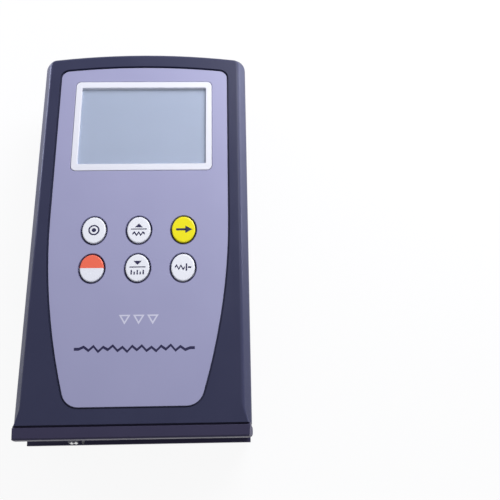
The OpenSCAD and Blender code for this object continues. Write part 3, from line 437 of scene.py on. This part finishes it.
def disc(bm, x, y, radius, sides=40, turn_deg=0, line=0, flat=1):
    turn = Matrix.Diagonal((1, flat, 1, 1)) @ Matrix.Rotation(radians(turn_deg), 4, 'Z')
    rim = bmesh.ops.create_circle(bm, cap_ends=True, segments=sides, radius=radius * mm,
                                  matrix=Matrix.Translation((x * mm, y * mm, 0)) @ turn)["verts"]
    if line:
        inner = rim[0].link_faces[0]
        bmesh.ops.inset_individual(bm, faces=[inner], thickness=line * mm, use_even_offset=True)
        bmesh.ops.delete(bm, geom=[inner], context='FACES_ONLY')


def printed(bm, name, body, ink, x, y, z):
    ink_t, ink_top = 0.03, 0.02
    bm.normal_update()
    bmesh.ops.reverse_faces(bm, faces=[f for f in bm.faces if f.normal.z < 0])
    bmesh.ops.solidify(bm, geom=bm.faces[:], thickness=ink_t * mm)
    bmesh.ops.recalc_face_normals(bm, faces=bm.faces)
    bmesh.ops.translate(bm, verts=bm.verts, vec=(x * mm, y * mm, (z + ink_top) * mm))
    piece = piece_from(bm, name)
    piece.data.materials.append(ink)
    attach(piece, body)


# Screen ink: a thin, dull, slightly uneven coat.
dark_ink = grained("screen_ink_indigo", "#27254a", "#2d2b52",
                   rough=0.6, gloss_level=0.3, grain_mm=0.4, relief_mm=0.004)
light_ink = grained("screen_ink_silver", "#d3d3e4", "#dcdcec",
                    rough=0.5, gloss_level=0.3, grain_mm=0.4, relief_mm=0.004)
trace_w, trace_line, trace_y = 38.8, 0.95, -42.9
heights = (0, 0, 0.7, -0.5, 0.9, -0.9, 0.6, -0.3, 1.0, -0.7, 0.5, -1.0, 0.8, -0.5, 0.9, -0.8, 0.4, -0.9,
           0.7, -0.4, 1.0, -0.8, 0.5, -0.6, 0, 0)
trace_step = trace_w / (len(heights) - 1)
bm = bmesh.new()
stroke(bm, [(trace_step * i - trace_w / 2, h) for i, h in enumerate(heights)], trace_line)
printed(bm, "profile_trace", "housing", dark_ink, 0, trace_y, face)
mark_gap, mark_r, mark_line, mark_x, mark_y = 4.6, 2.2, 0.5, 1, -32.8
bm = bmesh.new()
for x in (-mark_gap, 0, mark_gap):
    disc(bm, x, 0, mark_r, sides=3, turn_deg=180, line=mark_line)
printed(bm, "finish_triangles", "housing", light_ink, mark_x, mark_y, face)

# Display frame: a white surround moulded in ABS and pressed into the panel over the window,
# and the walls of the well under it, of the same white, down to the liquid crystal cell.
# Satin ABS: an even, cool white.
white_abs = grained("moulded_abs_white", "#ecedf3", "#f0f1f7",
                    rough=0.34, gloss_level=0.4, grain_mm=0.6, relief_mm=0.004)
low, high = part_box("display_bezel")
frame_top = high.z / mm
eased("display_bezel", "housing", white_abs, [(0.2, 3, lambda p: p.z > frame_top - near)])
well_wall, well_gap = 0.8, 0.01 * mm
well_depth = low.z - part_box("lcd_glass")[1].z - well_gap
bm = bmesh.new()
bar(bm, 0, view_mid / mm, 2 * view_x / mm + 2 * well_wall, 2 * view_y / mm + 2 * well_wall)
pane = next(iter(bm.faces))
bmesh.ops.inset_individual(bm, faces=[pane], thickness=well_wall * mm, use_even_offset=True)
bmesh.ops.delete(bm, geom=[pane], context='FACES_ONLY')
bmesh.ops.solidify(bm, geom=bm.faces[:], thickness=well_depth)
bmesh.ops.recalc_face_normals(bm, faces=bm.faces)
bmesh.ops.translate(bm, verts=bm.verts, vec=(0, 0, low.z))
well = piece_from(bm, "display_well")
well.data.materials.append(white_abs)
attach(well, "housing")

# Keys: six crowned oval caps moulded in ABS, four white, one yellow and one half red, each in
# an outline on the film. All but the red one have a dark figure printed on their flat tops.
# Polished ABS: a glossy, hardly uneven skin.
white_key = grained("glossy_abs_white", "#f7f9fd", "#f9fbfe",
                    rough=0.24, gloss_level=0.4, grain_mm=0.8, relief_mm=0.002)
yellow_key = grained("glossy_abs_yellow", "#fcef10", "#fdf21c",
                     rough=0.24, gloss_level=0.4, grain_mm=0.8, relief_mm=0.002)
# Two-shot cap: the same gloss, coral red above the middle of the key and white below.
low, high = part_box("key_power")
split_y = (low.y + high.y) / 2
split_key, tree = blank("glossy_abs_coral_and_white")
at = add(tree, 'ShaderNodeTexCoord', {})
place = add(tree, 'ShaderNodeSeparateXYZ', {'Vector': at.outputs['Object']})
upper = add(tree, 'ShaderNodeMath', {0: place.outputs['Y'], 1: split_y}, operation='GREATER_THAN')
tone = add(tree, 'ShaderNodeMix', {
    'Factor': upper.outputs[0], 6: linear("#f6f8fd"), 7: linear("#ff7458")}, data_type='RGBA')
cloud = add(tree, 'ShaderNodeTexNoise', {
    'Vector': at.outputs['Object'], 'Scale': 1 / (3 * mm), 'Detail': 2.0})
sheen = add(tree, 'ShaderNodeMapRange', {'Value': cloud.outputs['Fac'], 'To Min': 0.18, 'To Max': 0.3})
skin = add(tree, 'ShaderNodeBsdfPrincipled', {
    'Base Color': tone.outputs[2], 'Roughness': sheen.outputs[0], 'IOR': 1.53, 'Specular IOR Level': 0.4})
add(tree, 'ShaderNodeOutputMaterial', {'Surface': skin.outputs[0]})
# Violet ink: a softer line than the dark ink of the figures.
outline_ink = grained("screen_ink_violet", "#58567c", "#5e5c83",
                      rough=0.6, gloss_level=0.3, grain_mm=0.4, relief_mm=0.004)

key_finish = {"key_start": yellow_key, "key_power": split_key}
outline_in, outline_line = 0.11, 0.13
figure_line, rule_w, rule_line = 0.75, 5.4, 0.35
for key in ("key_calibrate", "key_up", "key_start", "key_power", "key_down", "key_cutoff"):
    eased(key, key, key_finish.get(key, white_key), [], sharp_deg=50)
    low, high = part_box(key)
    mid_x, mid_y = (low.x + high.x) / (2 * mm), (low.y + high.y) / (2 * mm)
    outline_w = (high.x - low.x) / mm - 2 * outline_in
    outline_h = (high.y - low.y) / mm - 2 * outline_in
    bm = bmesh.new()
    disc(bm, 0, 0, outline_w / 2, sides=64, line=outline_line, flat=outline_h / outline_w)
    printed(bm, key + "_outline", "housing", outline_ink, mid_x, mid_y, face)
    bm = bmesh.new()
    if key == "key_calibrate":
        disc(bm, 0, 0, 1.9, line=0.5)
        disc(bm, 0, 0, 0.75)
    elif key == "key_up":
        disc(bm, 0, 1.35, 1.6, sides=3, flat=0.6)
        bar(bm, 0, 0.25, rule_w, rule_line)
        zigzag = [(-2.1, -1.5), (-1.4, -0.9), (-0.7, -2.0), (0, -0.9), (0.7, -2.0), (1.4, -0.9), (2.1, -1.5)]
        stroke(bm, zigzag, figure_line)
    elif key == "key_down":
        disc(bm, 0, 1.95, 1.6, sides=3, turn_deg=180, flat=0.6)
        bar(bm, 0, 0.25, rule_w, rule_line)
        for i in range(5):
            tall = 1.6 if i % 2 == 0 else 1.0
            bar(bm, i - 2, tall / 2 - 2.4, 0.45, tall)
    elif key == "key_start":
        bar(bm, -0.85, 0, 3.3, 0.8)
        disc(bm, 1.4, 0, 1.6, sides=3, turn_deg=-90)
    elif key == "key_cutoff":
        zigzag = [(-2.7, 0), (-2.1, 0.7), (-1.4, -0.7), (-0.7, 0.7), (0, -0.7), (0.6, 0)]
        stroke(bm, zigzag, figure_line)
        bar(bm, 1.15, 0, 0.5, 2.6)
        bar(bm, 2.2, 0, 1.1, 0.6)
    if bm.faces:
        printed(bm, key + "_figure", key, dark_ink, mid_x, mid_y, high.z / mm)
